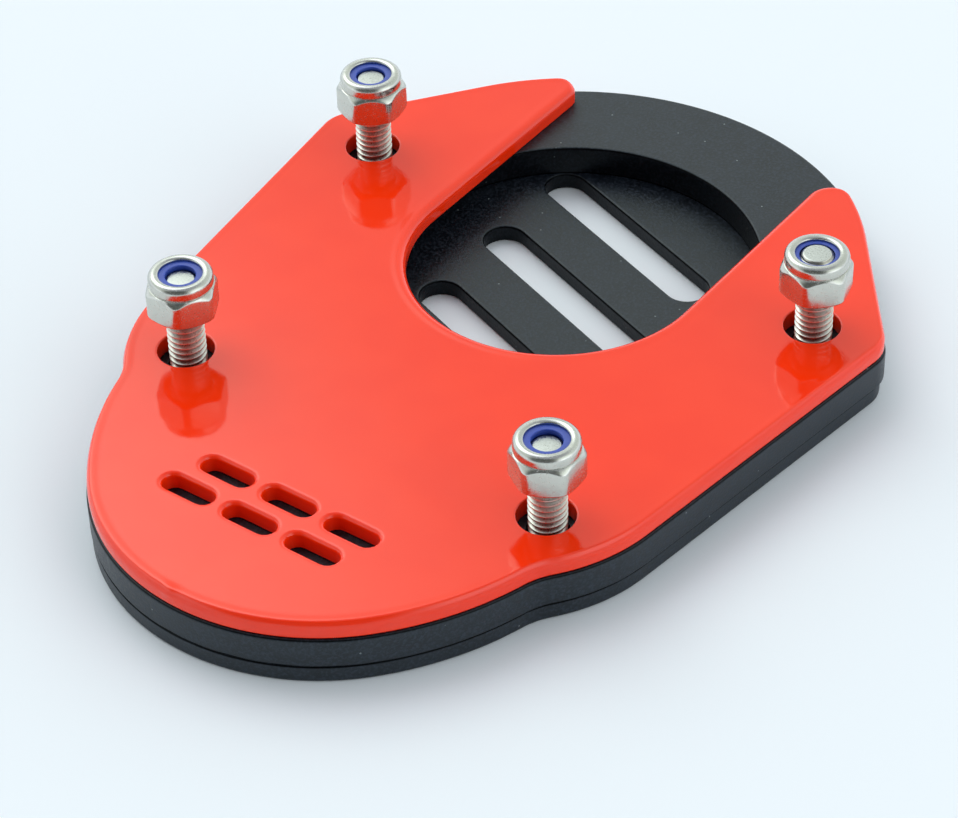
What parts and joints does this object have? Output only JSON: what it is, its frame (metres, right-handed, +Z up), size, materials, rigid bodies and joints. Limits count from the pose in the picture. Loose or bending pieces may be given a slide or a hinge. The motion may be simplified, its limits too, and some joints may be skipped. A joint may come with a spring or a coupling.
{
  "type": "kickstand foot enlarger",
  "caption": "Wide three-layer foot plate for a motorcycle side stand, with a round pocket under a U-shaped opening, drain slots and lock-nutted screws.",
  "frame": {"origin": "middle of the footprint on the underside of the sole plate", "axes": "+Y from the nose to the ring that the stand's foot slides into, +X to the right, +Z up"},
  "size_m": [0.073, 0.0992, 0.0175],
  "materials": {
    "red_coat": "glossy powder coat",
    "black_plate": "satin black coat",
    "steel": "bright stainless steel",
    "blue_nylon": "moulded nylon"
  },
  "bodies": {
    "root": {"sole_plate": "black_plate", "spacer_plate": "black_plate", "top_plate": "red_coat", "screw_front_left": "steel", "screw_front_right": "steel", "screw_rear_left": "steel", "screw_rear_right": "steel", "lock_nut_front_left": "steel", "lock_nut_front_right": "steel", "lock_nut_rear_left": "steel", "lock_nut_rear_right": "steel", "nylon_ring_front_left": "blue_nylon", "nylon_ring_front_right": "blue_nylon", "nylon_ring_rear_left": "blue_nylon", "nylon_ring_rear_right": "blue_nylon"}
  },
  "joints": []
}
